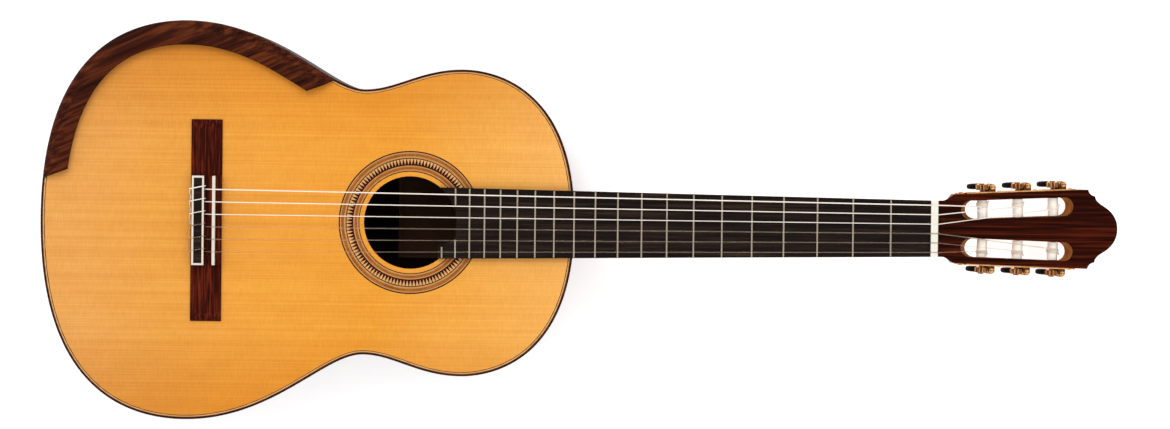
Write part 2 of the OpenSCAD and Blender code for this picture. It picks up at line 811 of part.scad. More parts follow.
// From the roller over the nut and the saddle, through the tie block and back over its top
function string_path(n) =
    let (r = string_diameter(n) / 2,
        lean = 3.2,
        nut_y = string_nut_y(n),
        y = string_saddle_y(n),
        reach = [-12.5, -13.5, -16.8][machine_place(n)])
    [side_point(n, roller_s(machine_place(n)), reach, roller_depth + roller_d / 2 + r + gap),
        [nut_x + nut_thickness + 0.25, nut_y, nut_height + r + 0.01],
        [nut_x, nut_y, nut_height + r + 0.01],
        [saddle_x + saddle_thickness / 2 + 0.1, y, saddle_height + r],
        [saddle_x - saddle_thickness / 2 - 0.55, y, saddle_height + r],
        [tie_front_x + 0.6, y, tie_hole_z],
        [bridge_back_x - 0.9, y, tie_hole_z],
        [bridge_back_x - 0.9, y, tie_top - 1],
        [tie_back_x - 0.4, y, tie_top + inlay_height + r + 0.2],
        [tie_front_x + 0.3, y + lean, tie_top + inlay_height + r + 0.2],
        [tie_front_x + 1.2, y + lean, tie_top - 1]];

// A closed tube along a path that stays near the XZ plane
module tube(path, r) {
    sides = 8;
    last = len(path) - 1;
    rows = [for (i = [0:last])
        let (before = unit(path[i] - path[max(i - 1, 0)] + [1e-9, 0, 0]),
            after = unit(path[min(i + 1, last)] - path[i] + [1e-9, 0, 0]),
            along = i == 0 ? after : i == last ? before : unit(before + after),
            up = unit(cross(along, [0, 1, 0])),
            over = cross(along, up))
        [for (j = [0:sides - 1]) let (a = j * 360 / sides) path[i] + r * (up * cos(a) + over * sin(a))]];
    lofted(rows);
}

module string(n) {
    color(n > 3 ? "#c9cbd0" : "#e8e6df") tube(string_path(n), string_diameter(n) / 2);
}

placed() soundboard();
placed() back_plate();
placed() half_rib();  // rib_bass
placed() mirror([0, 1, 0]) half_rib();  // rib_treble
placed() end_graft();
placed() linings();
placed() top_binding();
placed() back_binding();
placed() purfling();
placed() rosette();
placed() label();
placed() tail_block();
placed() heel_block();
placed() soundboard_braces();
placed() back_braces();
placed() armrest();
placed() bridge();
placed() tie_block_inlay();
placed() saddle();
placed() neck_shaft();
placed() heel_cap();
placed() fingerboard();
placed() frets();
placed() nut();
placed() head_core();
placed() head_veneer();
placed() side_plate(1);  // side_plate_bass
placed() side_plate(-1);  // side_plate_treble
placed() worm_brackets();
placed() plate_screws();
for (n = [1:6]) {
    placed() string(n);
    placed() string_roller(n);
    placed() tuner_gear(n);
    placed() tuner_worm(n);
    placed() tuner_button(n);
}
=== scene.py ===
"""Looks of a classical guitar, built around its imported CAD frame.

Shapes are drawn in millimetres in the guitar's own frame: the origin is on the soundboard's face
under the twelfth fret, +X runs to the head, +Y to the bass side and +Z out of the soundboard.
place() turns such a point into the row frame, in metres.
"""
import math

import bmesh
import bpy
from mathutils import Matrix, Vector


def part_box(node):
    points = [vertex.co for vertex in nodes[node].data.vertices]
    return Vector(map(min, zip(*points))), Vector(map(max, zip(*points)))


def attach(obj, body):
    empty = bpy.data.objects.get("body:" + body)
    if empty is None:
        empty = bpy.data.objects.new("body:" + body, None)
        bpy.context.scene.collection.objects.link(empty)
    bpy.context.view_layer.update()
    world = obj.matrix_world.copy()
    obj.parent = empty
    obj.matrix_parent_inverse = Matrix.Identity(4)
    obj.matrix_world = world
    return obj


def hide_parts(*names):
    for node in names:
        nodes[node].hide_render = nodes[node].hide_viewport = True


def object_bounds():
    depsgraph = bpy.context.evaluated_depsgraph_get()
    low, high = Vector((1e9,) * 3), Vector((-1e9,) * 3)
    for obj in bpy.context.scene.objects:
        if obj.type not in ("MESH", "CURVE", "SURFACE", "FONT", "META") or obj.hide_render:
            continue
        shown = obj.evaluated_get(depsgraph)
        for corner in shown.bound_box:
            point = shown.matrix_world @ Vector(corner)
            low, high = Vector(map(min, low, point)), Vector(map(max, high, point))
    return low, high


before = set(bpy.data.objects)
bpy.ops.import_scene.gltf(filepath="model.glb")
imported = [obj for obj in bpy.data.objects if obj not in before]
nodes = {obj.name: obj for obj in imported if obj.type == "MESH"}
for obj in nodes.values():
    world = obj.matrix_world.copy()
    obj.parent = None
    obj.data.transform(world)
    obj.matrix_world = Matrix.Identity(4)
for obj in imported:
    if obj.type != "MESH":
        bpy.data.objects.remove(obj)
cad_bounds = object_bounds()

MM = 0.001

# ---- Driving sizes, in mm ----

SCALE_LENGTH = 650
NUT_X = SCALE_LENGTH / 2
NUT_THICKNESS = 6.5
NUT_WIDTH = 51.4
TWELFTH_FRET_WIDTH = 61.2
SADDLE_X = -NUT_X - 2.7
BRIDGE_BACK_X = SADDLE_X - 21.6
# Spacing of the strings at the nut and at the saddle
NUT_SPACING = 8.6
SADDLE_SPACING = 11.36
BODY_LENGTH = 487
HEEL_X = 0.5
TAIL_X = HEEL_X - BODY_LENGTH
HEEL_DEPTH = 94
TAIL_DEPTH = 100
BACK_RADIUS = 4572
RIB = 1.8
BACK = 2.8
TOP = 2.5
HOLE_X = -149.4
HEAD_ANGLE = math.radians(15)
FLARE = math.radians(2.23)
# The head's straight sides start at this distance from the nut, with this half width, and flare
HEAD_START = 20
HEAD_START_HALF = 31.6
ROLLER_DEPTH = -8
ROLLER_R = 4.75
ROLLER_FIRST = 26.7
ROLLER_PITCH = 35
# The worm's axis lies beside the gear, this far along the head and out from its side
WORM_OFFSET = 7.9
WORM_OUT = 5.4
GEAR_TEETH = 15
GEAR_PITCH_R = 5.075
WORM_LEAD = 2 * math.pi * GEAR_PITCH_R / GEAR_TEETH
PLATE = 1.2
# Surfaces inlaid in the soundboard stand this much proud of it, so that both are never in one plane
PROUD = 0.01

ORIGIN = Vector((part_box("nut")[0].x - NUT_X * MM, 0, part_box("soundboard")[1].z))


def place(point):
    """A point in the guitar's frame, in mm, as a point of the row frame, in metres."""
    return ORIGIN + Vector(point) * MM


# ---- Small maths ----


def mix(a, b, t):
    return a + (b - a) * t


def smooth(t):
    t = min(max(t, 0), 1)
    return t * t * (3 - 2 * t)


def signed_power(value, power):
    return math.copysign(abs(value) ** power, value)


def bezier(curve, t):
    a, b, c, d = curve
    return (1 - t) ** 3 * a + 3 * (1 - t) ** 2 * t * b + 3 * (1 - t) * t**2 * c + t**3 * d


def bezier_slope(curve, t):
    a, b, c, d = curve
    return (1 - t) ** 2 * (b - a) + 2 * (1 - t) * t * (c - b) + t**2 * (d - c)


# ---- The body's outline ----

PLACES = [(TAIL_X, 0), (-354, 182), (-191.6, 121), (-102.3, 140), (HEEL_X, 0)]
REACH_BEFORE = [None, 55, 35.2, 38.6, 120.4]
REACH_AFTER = [153.7, 80.8, 28.1, 33.8, None]


def outline_curves():
    curves = []
    for k in range(4):
        start = Vector(PLACES[k])
        end = Vector(PLACES[k + 1])
        leave = Vector((0, REACH_AFTER[k])) if k == 0 else Vector((REACH_AFTER[k], 0))
        arrive = Vector((0, REACH_BEFORE[4])) if k == 3 else Vector((-REACH_BEFORE[k + 1], 0))
        curves.append((start, start + leave, end + arrive, end))
    return curves


OUTLINE = outline_curves()


def edge_point(v, inset):
    """A point of the outline, inset from it.

    v runs 0 to 4 up the bass side from tail to heel, and 4 to 8 back down the treble side.
    """
    u = v if v <= 4 else 8 - v
    k = min(int(u), 3)
    slope = bezier_slope(OUTLINE[k], u - k).normalized()
    point = bezier(OUTLINE[k], u - k) + inset * Vector((slope.y, -slope.x))
    return point if v <= 4 else Vector((point.x, -point.y))


def back_z(x, y, lift):
    """Height of the arched back at a place, raised by lift."""
    return -HEEL_DEPTH + (TAIL_DEPTH - HEEL_DEPTH) * x / BODY_LENGTH + y * y / (2 * BACK_RADIUS) + lift


# ---- Meshes ----


def smooth_by_angle(mesh, degrees):
    """Smooth shading, with the edges sharper than the angle kept sharp."""
    limit = math.radians(degrees)
    neighbours = {}
    for polygon in mesh.polygons:
        polygon.use_smooth = True
        for key in polygon.edge_keys:
            neighbours.setdefault(key, []).append(polygon.normal)
    for edge in mesh.edges:
        pair = neighbours.get(tuple(sorted(edge.vertices)), [])
        edge.use_edge_sharp = len(pair) == 2 and pair[0].angle(pair[1], 0) > limit


def add_piece(name, points, faces, material, body="guitar", angle=35):
    """A mesh piece from points in mm, riding on a body."""
    mesh = bpy.data.meshes.new(name)
    mesh.from_pydata([place(p) for p in points], [], faces)
    mesh.validate()
    turn_outwards(mesh)
    smooth_by_angle(mesh, angle)
    mesh.materials.append(material)
    piece = bpy.data.objects.new(name, mesh)
    bpy.context.scene.collection.objects.link(piece)
    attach(piece, body)
    return piece


def turn_outwards(mesh):
    """Every face's normal points out of its closed shell."""
    shell = bmesh.new()
    shell.from_mesh(mesh)
    bmesh.ops.recalc_face_normals(shell, faces=shell.faces)
    shell.to_mesh(mesh)
    shell.free()
    mesh.update()


def loft(rows, closed=False):
    """Points and faces of a solid through rows of points. If closed, its last row joins its first."""
    count = len(rows[0])
    points = [p for row in rows for p in row]
    faces = []
    spans = len(rows) if closed else len(rows) - 1
    for i in range(spans):
        a, b = i * count, (i + 1) % len(rows) * count
        for j in range(count):
            k = (j + 1) % count
            faces.append((a + j, a + k, b + k, b + j))
    if not closed:
        faces.append(tuple(range(count - 1, -1, -1)))
        faces.append(tuple(range((len(rows) - 1) * count, len(rows) * count)))
    return points, faces


def band(name, profile, start, end, steps, material):
    """A band that follows the body's outline. profile holds (inset, height function of x and y) pairs.

    start and end are places along the outline, or lists with one place for each point of the profile.
    """
    whole = start == 0 and end == 8
    starts = start if isinstance(start, list) else [start] * len(profile)
    ends = end if isinstance(end, list) else [end] * len(profile)
    rows = []
    for i in range(steps if whole else steps + 1):
        row = []
        for (inset, height), first, last in zip(profile, starts, ends):
            edge = edge_point(mix(first, last, i / steps), inset)
            row.append((edge.x, edge.y, height(edge.x, edge.y)))
        rows.append(row)
    return add_piece(name, *loft(rows, closed=whole), material)


def at_height(z):
    return lambda x, y: z


def over_back(lift):
    return lambda x, y: back_z(x, y, lift)


def rounded_path(points, radius, steps=5):
    """The path with each corner rounded off by a curve that starts at most radius from it."""
    points = [Vector(p) for p in points]
    path = [points[0]]
    for before, corner, after in zip(points, points[1:], points[2:]):
        first = corner + (before - corner) * min(radius / (before - corner).length, 0.45)
        last = corner + (after - corner) * min(radius / (after - corner).length, 0.45)
        for i in range(steps + 1):
            t = i / steps
            path.append(first.lerp(corner, t).lerp(corner.lerp(last, t), t))
    path.append(points[-1])
    return path


def tube(path, radius, sides=12):
    """A round tube along a path. Its sections keep their twist from one point to the next."""
    rows = []
    along = (path[1] - path[0]).normalized()
    across = along.orthogonal().normalized()
    for i, point in enumerate(path):
        ahead = path[min(i + 1, len(path) - 1)] - path[max(i - 1, 0)]
        turn = along.rotation_difference(ahead.normalized())
        across = turn @ across
        along = ahead.normalized()
        other = along.cross(across)
        width = radius(i / (len(path) - 1)) if callable(radius) else radius
        rows.append([point + width * (across * math.cos(a) + other * math.sin(a))
                     for a in (2 * math.pi * j / sides for j in range(sides))])
    return loft(rows)


def turned(profile, steps=32):
    """Rows of points for a shape turned about Z, from a profile of (radius, height) pairs."""
    angles = [2 * math.pi * j / steps for j in range(steps)]
    return [[(r * math.cos(a), r * math.sin(a), z) for a in angles] for r, z in profile]


def moved(solid, matrix):
    points, faces = solid
    return [matrix @ Vector(p) for p in points], faces


def joined(solids):
    points, faces = [], []
    for more_points, more_faces in solids:
        start = len(points)
        points += more_points
        faces += [tuple(start + i for i in face) for face in more_faces]
    return points, faces


# ---- Materials ----


class Nodes:
    """A material's node tree, with short calls to add and join nodes."""

    def __init__(self, name):
        self.material = bpy.data.materials.new(name)
        self.material.use_nodes = True
        self.tree = self.material.node_tree
        self.shader = self.tree.nodes["Principled BSDF"]
        self.where = self.tree.nodes.new("ShaderNodeTexCoord").outputs["Object"]

    def add(self, kind, inputs=None, **settings):
        node = self.tree.nodes.new(kind)
        for key, value in settings.items():
            setattr(node, key, value)
        for key, value in (inputs or {}).items():
            self.put(value, node.inputs[key])
        return node

    def put(self, value, socket):
        if isinstance(value, bpy.types.NodeSocket):
            self.tree.links.new(value, socket)
        else:
            socket.default_value = value

    def mapped(self, scale, turn=(0, 0, 0)):
        turning = self.add("ShaderNodeMapping", {"Vector": self.where, "Rotation": turn})
        return self.add("ShaderNodeMapping", {"Vector": turning.outputs[0], "Scale": scale}).outputs[0]

    def noise(self, vector, detail=4.0, rough=0.55, distortion=0.0, scale=1.0):
        node = self.add("ShaderNodeTexNoise", {"Vector": vector, "Scale": scale, "Detail": detail,
                                               "Roughness": rough, "Distortion": distortion})
        return node.outputs["Fac"]

    def ramp(self, factor, stops):
        node = self.add("ShaderNodeValToRGB", {"Fac": factor})
        elements = node.color_ramp.elements
        while len(elements) < len(stops):
            elements.new(0.5)
        for element, (position, colour) in zip(elements, stops):
            element.position = position
            element.color = (*colour, 1)
        return node.outputs["Color"]

    def blend(self, kind, factor, a, b):
        node = self.add("ShaderNodeMix", data_type="RGBA", blend_type=kind)
        for value, key in ((factor, 0), (a, 6), (b, 7)):
            self.put(value, node.inputs[key])
        return node.outputs[2]

    def math(self, operation, a, b=0.0):
        node = self.add("ShaderNodeMath", operation=operation)
        self.put(a, node.inputs[0])
        self.put(b, node.inputs[1])
        return node.outputs[0]

    def span(self, value, low, high):
        node = self.add("ShaderNodeMapRange", {"Value": value, "To Min": low, "To Max": high})
        return node.outputs[0]

    def finish(self, colour, rough, bump=None, bump_strength=0.2, bump_distance=0.0002, **shader):
        self.put(colour, self.shader.inputs["Base Color"])
        self.put(rough, self.shader.inputs["Roughness"])
        for key, value in shader.items():
            self.put(value, self.shader.inputs[key.replace("_", " ")])
        if bump is not None:
            node = self.add("ShaderNodeBump", {"Height": bump, "Strength": bump_strength,
                                               "Distance": bump_distance})
            self.put(node.outputs[0], self.shader.inputs["Normal"])
        return self.material


def rgb(red, green, blue):
    """A colour given as 0-255 screen values, as the renderer's linear values."""
    return tuple(c / 12.92 if c <= 0.04045 else ((c + 0.055) / 1.055) ** 2.4
                 for c in (red / 255, green / 255, blue / 255))


def grained_wood(name, dark, middle, light, turn=(0, 0, 0), streak=160, fine=900, along=7,
                 contrast=1.0, curl=0.35, rough=0.34, shine=0.1, pores=0.25,
                 pore_colour=(0.01, 0.004, 0.003)):
    """Wood whose grain runs along X after turning. streak and fine are lines per metre across it."""
    n = Nodes(name)
    broad = n.noise(n.mapped((along, streak, streak), turn), detail=5, rough=0.6, distortion=curl)
    thin = n.noise(n.mapped((along * 3, fine, fine), turn), detail=3, rough=0.5)
    cloud = n.noise(n.mapped((6, 10, 10), turn), detail=2)
    mixed = n.math("ADD", n.math("MULTIPLY", broad, 0.72), n.math("MULTIPLY", thin, 0.18))
    mixed = n.math("ADD", mixed, n.math("MULTIPLY", cloud, 0.12))
    spread = 0.17 / contrast
    colour = n.ramp(mixed, [(0.5 - spread, dark), (0.5, middle), (0.5 + spread, light)])
    pore = n.noise(n.mapped((along * 14, fine * 1.6, fine * 1.6), turn), detail=1, rough=0.4)
    pore_mask = n.ramp(pore, [(0.64, (0, 0, 0)), (0.74, (1, 1, 1))])
    colour = n.blend("MIX", n.math("MULTIPLY", pore_mask, pores), colour, (*pore_colour, 1))
    height = n.math("SUBTRACT", thin, n.math("MULTIPLY", pore_mask, 0.8))
    return n.finish(colour, n.span(thin, rough, rough + 0.12), height, 0.15, 0.00008,
                    Specular_IOR_Level=shine)


def soundboard_wood():
    """Amber-lacquered top: fine straight grain, cross silk, and broad paler and deeper areas."""
    n = Nodes("top_wood")
    grain = n.noise(n.mapped((1.6, 900, 900)), detail=4, rough=0.65)
    thread = n.noise(n.mapped((1.1, 330, 330)), detail=3)
    wide = n.noise(n.mapped((0.9, 110, 110)), detail=3)
    silk = n.noise(n.mapped((1300, 110, 110)), detail=3, rough=0.7, distortion=0.8)
    patches = n.noise(n.mapped((28, 60, 60)), detail=3)
    cloud = n.noise(n.mapped((5, 7, 7)), detail=2)
    parts = n.add("ShaderNodeSeparateXYZ", {0: n.where}).outputs
    along = n.add("ShaderNodeMapRange", {"Value": parts[0], "From Min": place((TAIL_X, 0, 0)).x,
                                         "From Max": place((HEEL_X, 0, 0)).x}).outputs[0]
    along = n.math("ADD", along, n.math("MULTIPLY", n.math("SUBTRACT", cloud, 0.5), 0.35))
    colour = n.ramp(along, [(0.0, rgb(240, 175, 100)), (0.2, rgb(241, 170, 79)),
                            (0.42, rgb(246, 171, 68)), (0.62, rgb(244, 167, 58)),
                            (0.85, rgb(249, 182, 90)), (1.0, rgb(252, 188, 104))])
    # Deeper colour towards the long edges
    edge = n.math("ABSOLUTE", n.math("ADD", parts[1], 0.012))
    rim = n.add("ShaderNodeMapRange", {"Value": edge, "From Min": 0.08, "From Max": 0.17}).outputs[0]
    colour = n.blend("MULTIPLY", rim, colour, (0.84, 0.7, 0.46, 1))
    shades = ((0.55, grain, (0.84, 0.74, 0.58)), (0.16, thread, (0.88, 0.8, 0.66)),
              (0.12, wide, (0.9, 0.83, 0.72)), (0.5, silk, (0.86, 0.78, 0.66)),
              (0.25, patches, (0.9, 0.82, 0.72)))
    for factor, pattern, dark in shades:
        colour = n.blend("MULTIPLY", factor, colour, n.ramp(pattern, [(0.4, dark), (0.58, (1, 1, 1))]))
    return n.finish(colour, n.span(grain, 0.3, 0.38), grain, 0.06, 0.00006, Specular_IOR_Level=0.15)


def bare_wood(name, dark, light, turn=(0, 0, 0)):
    """Unlacquered wood inside the body."""
    return grained_wood(name, dark, tuple(mix(a, b, 0.5) for a, b in zip(dark, light)), light, turn,
                        streak=90, fine=700, along=4, rough=0.6, shine=0.1, pores=0.1)


def plain(name, colour, rough, metallic=0.0, wear=0.06, grain=(900, 900, 900), bump=0.05, **shader):
    """An even material with a little variation in colour, sheen and surface."""
    n = Nodes(name)
    mottle = n.noise(n.mapped(grain), detail=4)
    cloud = n.noise(n.mapped((40, 40, 40)), detail=3)
    shade = n.ramp(cloud, [(0.3, (1 - wear * 2,) * 3), (0.7, (1, 1, 1))])
    tint = n.blend("MULTIPLY", 1.0, (*colour, 1), shade)
    return n.finish(tint, n.span(mottle, rough * 0.85, rough * 1.25), mottle, bump, 0.00005,
                    Metallic=metallic, **shader)


def brushed_gold():
    """Gold plate, brushed along the head's sides, with painted shade in its hollows."""
    n = Nodes("gold_plate")
    brush = n.noise(n.mapped((2500, 300, 2500)), detail=3)
    worn = n.noise(n.mapped((160, 160, 160)), detail=5)
    colour = n.ramp(worn, [(0.35, rgb(224, 152, 92)), (0.6, rgb(255, 196, 132))])
    # Painted shade: the colour is darkened where ambient occlusion finds hollows and nearby parts
    shade = n.add("ShaderNodeAmbientOcclusion", {"Distance": 0.004}, samples=8).outputs["AO"]
    shade = n.ramp(shade, [(0.3, (0.09, 0.04, 0.02)), (0.75, (1, 1, 1))])
    colour = n.blend("MULTIPLY", 1.0, colour, shade)
    return n.finish(colour, n.span(brush, 0.12, 0.28), brush, 0.08, 0.00004, Metallic=1.0)


def wound_metal():
    """Silver winding: fine rings across the string, with a faint painted glow."""
    n = Nodes("wound_string")
    rings = n.add("ShaderNodeTexWave", {"Vector": n.where, "Scale": 320.0, "Distortion": 0.4},
                  wave_type="BANDS", bands_direction="X").outputs["Fac"]
    tarnish = n.noise(n.mapped((60, 60, 60)), detail=2)
    colour = n.ramp(tarnish, [(0.3, rgb(240, 230, 216)), (0.7, rgb(252, 244, 232))])
    # A faint painted glow keeps the winding pale
    return n.finish(colour, 0.4, rings, 0.4, 0.00005, Metallic=0.05, Emission_Color=(1, 0.93, 0.84, 1),
                    Emission_Strength=0.1)


def fret_metal():
    """Nickel silver, with a painted highlight along the crown and painted shade on its flanks."""
    n = Nodes("fret_metal")
    normal = n.add("ShaderNodeNewGeometry").outputs["Normal"]
    up = n.add("ShaderNodeSeparateXYZ", {0: normal}).outputs[2]
    wear = n.noise(n.mapped((2500, 200, 2500)), detail=3)
    # Painted highlight and shade: parts facing up are coloured bright, the flanks near black
    colour = n.ramp(up, [(0.7, rgb(40, 30, 26)), (0.93, rgb(150, 130, 112)),
                         (0.99, rgb(255, 240, 222))])
    return n.finish(colour, n.span(wear, 0.25, 0.4), wear, 0.05, 0.00005, Metallic=1.0)


# Beyond this distance from the centre line, only a roller's pin is left
ROLLER_PIN_Y = 28.5


def roller_white():
    """Off-white plastic with painted shade that darkens it towards its sides, and a faint painted glow."""
    n = Nodes("roller_white")
    facing = n.add("ShaderNodeLayerWeight", {"Blend": 0.5}).outputs["Facing"]
    worn = n.noise(n.mapped((500, 60, 500)), detail=4)
    # Painted shade: the colour darkens where the surface turns away from the view, varied by random wear
    edge = n.math("ADD", facing, n.math("MULTIPLY", n.math("SUBTRACT", worn, 0.5), 0.35))
    colour = n.ramp(edge, [(0.1, rgb(255, 250, 242)), (0.45, rgb(240, 230, 216)),
                           (0.85, rgb(196, 170, 142))])
    # The pin that runs out through the side of the head is bronze
    out = n.math("ABSOLUTE", n.add("ShaderNodeSeparateXYZ", {0: n.where}).outputs[1])
    pin = n.math("GREATER_THAN", out, ROLLER_PIN_Y * MM)
    colour = n.blend("MIX", pin, colour, (*rgb(112, 68, 34), 1))
    # A faint painted glow in the plastic's own colour, none on the pin
    painted_glow = n.math("MULTIPLY", n.math("SUBTRACT", 1.0, pin), 0.1)
    return n.finish(colour, n.span(worn, 0.25, 0.4), worn, 0.05, 0.00005, Metallic=pin,
                    Emission_Color=colour, Emission_Strength=painted_glow)


WOOD_RED = grained_wood("rosewood", rgb(26, 10, 8), rgb(54, 19, 12), rgb(88, 34, 20), contrast=1.15,
                        shine=0.05)
BRIDGE_WOOD = grained_wood("bridge_rosewood", rgb(28, 6, 3), rgb(58, 13, 6), rgb(106, 38, 18),
                           turn=(0, 0, math.radians(90)), streak=520, along=26, contrast=1.3, rough=0.45,
                           shine=0.05)
ARMREST_WOOD = grained_wood("armrest_rosewood", rgb(28, 10, 6), rgb(60, 23, 12), rgb(100, 46, 22),
                            turn=(0, 0, math.radians(-24)), streak=260, along=2.2, contrast=1.4, curl=0.02,
                            pores=0.06, shine=0.05)
VENEER_WOOD = grained_wood("veneer_rosewood", rgb(18, 4, 2), rgb(42, 10, 4), rgb(88, 29, 10),
                           turn=(0, -HEAD_ANGLE, 0), streak=330, along=8, contrast=1.2, rough=0.45,
                           shine=0.03)
BACK_SHADES = (rgb(24, 10, 8), rgb(52, 22, 15), rgb(86, 42, 27))
BACK_WOOD = grained_wood("back_rosewood", *BACK_SHADES, streak=170, along=3)
RIB_WOOD = grained_wood("rib_rosewood", *BACK_SHADES, streak=170, along=3, rough=0.4, shine=0.03)
BACK_INSIDE = grained_wood("bare_rosewood", rgb(9, 4, 3), rgb(18, 8, 6), rgb(30, 15, 10), streak=170,
                           along=3, rough=0.7, shine=0.02)
NECK_WOOD = grained_wood("neck_cedar", rgb(96, 50, 18), rgb(138, 80, 32), rgb(168, 106, 48), streak=120,
                         along=5, rough=0.36, shine=0.15, pores=0.3, pore_colour=rgb(84, 44, 26))
HEAD_WOOD = grained_wood("head_cedar", rgb(112, 60, 22), rgb(160, 98, 40), rgb(190, 126, 60), streak=120,
                         turn=(0, -HEAD_ANGLE, 0), along=5, rough=0.7, shine=0.02, pores=0.3,
                         pore_colour=rgb(90, 46, 20))
EBONY = grained_wood("ebony", rgb(14, 10, 9), rgb(27, 20, 18), rgb(60, 43, 34), streak=300, fine=1400,
                     along=9, rough=0.42, shine=0.08, pores=0.35)
BARE_CEDAR = bare_wood("bare_cedar", rgb(96, 56, 32), rgb(140, 92, 58))
BARE_SPRUCE = bare_wood("bare_spruce", rgb(150, 108, 62), rgb(186, 146, 96))
STRIPE = grained_wood("maple_stripe", rgb(150, 98, 52), rgb(176, 122, 70), rgb(200, 146, 90), streak=300,
                      fine=1200, pores=0.1)
STRIPE_LIGHT = grained_wood("light_stripe", rgb(206, 160, 104), rgb(224, 182, 126), rgb(236, 200, 150),
                            streak=300, fine=1200, pores=0.05)
DARK_LINE = plain("dark_line", rgb(34, 18, 14), 0.4, Specular_IOR_Level=0.1)
BONE = plain("bone", rgb(252, 246, 234), 0.3, wear=0.05, grain=(300, 1600, 1600), Subsurface_Weight=0.15,
             Subsurface_Radius=(0.004, 0.003, 0.002), Coat_Weight=0.2)
BRIDGE_BONE = plain("bridge_bone", rgb(234, 224, 208), 0.35, wear=0.06, grain=(300, 1600, 1600))
FRET = fret_metal()
GOLD = brushed_gold()
BUTTON = plain("button_black", rgb(26, 16, 12), 0.5, wear=0.1, Specular_IOR_Level=0.04)
# Painted shade: the gold worm brackets get a dark bronze so that they read as shaded between gear and
# plate
BRACKET_PAINTED_SHADE = plain("bracket_painted_shade", rgb(112, 68, 34), 0.35, metallic=1.0, wear=0.15)
ROLLER = roller_white()
LABEL = plain("label_paper", rgb(70, 46, 33), 0.8, wear=0.14, grain=(400, 400, 400),
              Specular_IOR_Level=0.1)
WOUND = wound_metal()
NYLON = plain("nylon", rgb(250, 234, 212), 0.3, wear=0.02, bump=0.0, Transmission_Weight=0.91,
              IOR=1.15)
NYLON_TURNS = plain("nylon_turns", rgb(240, 230, 214), 0.35, wear=0.05, Subsurface_Weight=0.2,
                    Subsurface_Radius=(0.002, 0.002, 0.0015))
TOP_WOOD = soundboard_wood()

CAD_FINISH = {
    "soundboard": TOP_WOOD, "back_plate": BACK_WOOD, "linings": BARE_CEDAR, "tail_block": BARE_CEDAR,
    "heel_block": BARE_CEDAR, "soundboard_braces": BARE_SPRUCE, "back_braces": BARE_CEDAR, "label": LABEL,
    "bridge": BRIDGE_WOOD, "tie_block_inlay": BRIDGE_BONE, "saddle": BRIDGE_BONE, "heel_cap": WOOD_RED,
    "fingerboard": EBONY, "frets": FRET, "nut": BONE, "head_core": HEAD_WOOD, "head_veneer": VENEER_WOOD,
    "side_plate_bass": GOLD, "side_plate_treble": GOLD, "worm_brackets": BRACKET_PAINTED_SHADE,
}
for number in range(1, 7):
    CAD_FINISH[f"tuner_gear_{number}"] = GOLD
    CAD_FINISH[f"string_roller_{number}"] = ROLLER

# Width in mm by which the edges of some CAD parts are eased
EASED = {"frets": 0.25, "bridge": 0.5, "tie_block_inlay": 0.22, "saddle": 0.8, "nut": 0.6,
         "head_veneer": 0.35, "head_core": 0.5, "fingerboard": 0.3, "heel_cap": 0.3,
         "worm_brackets": 0.35, "soundboard_braces": 0.8, "back_braces": 1.0}
for number in range(1, 7):
    EASED[f"tuner_gear_{number}"] = 0.12
    EASED[f"string_roller_{number}"] = 0.4


def ease_edges(piece, width):
    weld = piece.modifiers.new("weld", "WELD")
    weld.merge_threshold = 0.00001
    bevel = piece.modifiers.new("ease", "BEVEL")
    bevel.width = width * MM
    bevel.segments = 3
    bevel.limit_method = "ANGLE"
    bevel.angle_limit = math.radians(38)
    bevel.use_clamp_overlap = True
    bevel.harden_normals = False
    piece.modifiers.new("even_shading", "WEIGHTED_NORMAL")


def finish_faces(name, material, chosen):
    """Another finish for the chosen faces of a CAD node."""
    mesh = nodes[name].data
    mesh.materials.append(material)
    for face in mesh.polygons:
        if chosen(face):
            face.material_index = 1


def finish_cad_nodes():
    for name, material in CAD_FINISH.items():
        piece = nodes[name]
        piece.data.materials.clear()
        piece.data.materials.append(material)
        if name in EASED:
            ease_edges(piece, EASED[name])
    # The back's upper face lies inside the body and is left bare
    finish_faces("back_plate", BACK_INSIDE, lambda face: face.normal.z > 0.5)
    # An ebony plate fills the bone frame on the tie block
    low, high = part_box("tie_block_inlay")
    finish_faces("bridge", EBONY, lambda face: (
        face.normal.z > 0.9 and low.x < face.center.x < high.x
        and low.y < face.center.y < high.y and face.center.z > low.z))


# ---- Body ----

# Half width of the wedge at the tail, at the top and at the back
GRAFT_HALF_TOP = 9
GRAFT_HALF_BACK = 5
# The bindings' height down the ribs, and the radius of their outer corner
TOP_BINDING = 5
BACK_BINDING = 4
BINDING_ROUND = 0.6
RING_STEPS = 480


def rounded_edge(radius):
    """A rounded outer corner as (inset, rise) pairs, going inwards and up to a rise of 0."""
    angles = [math.pi / 2 * i / 4 for i in range(5)]
    return [(radius * (1 - math.cos(a)), radius * (math.sin(a) - 1)) for a in angles]


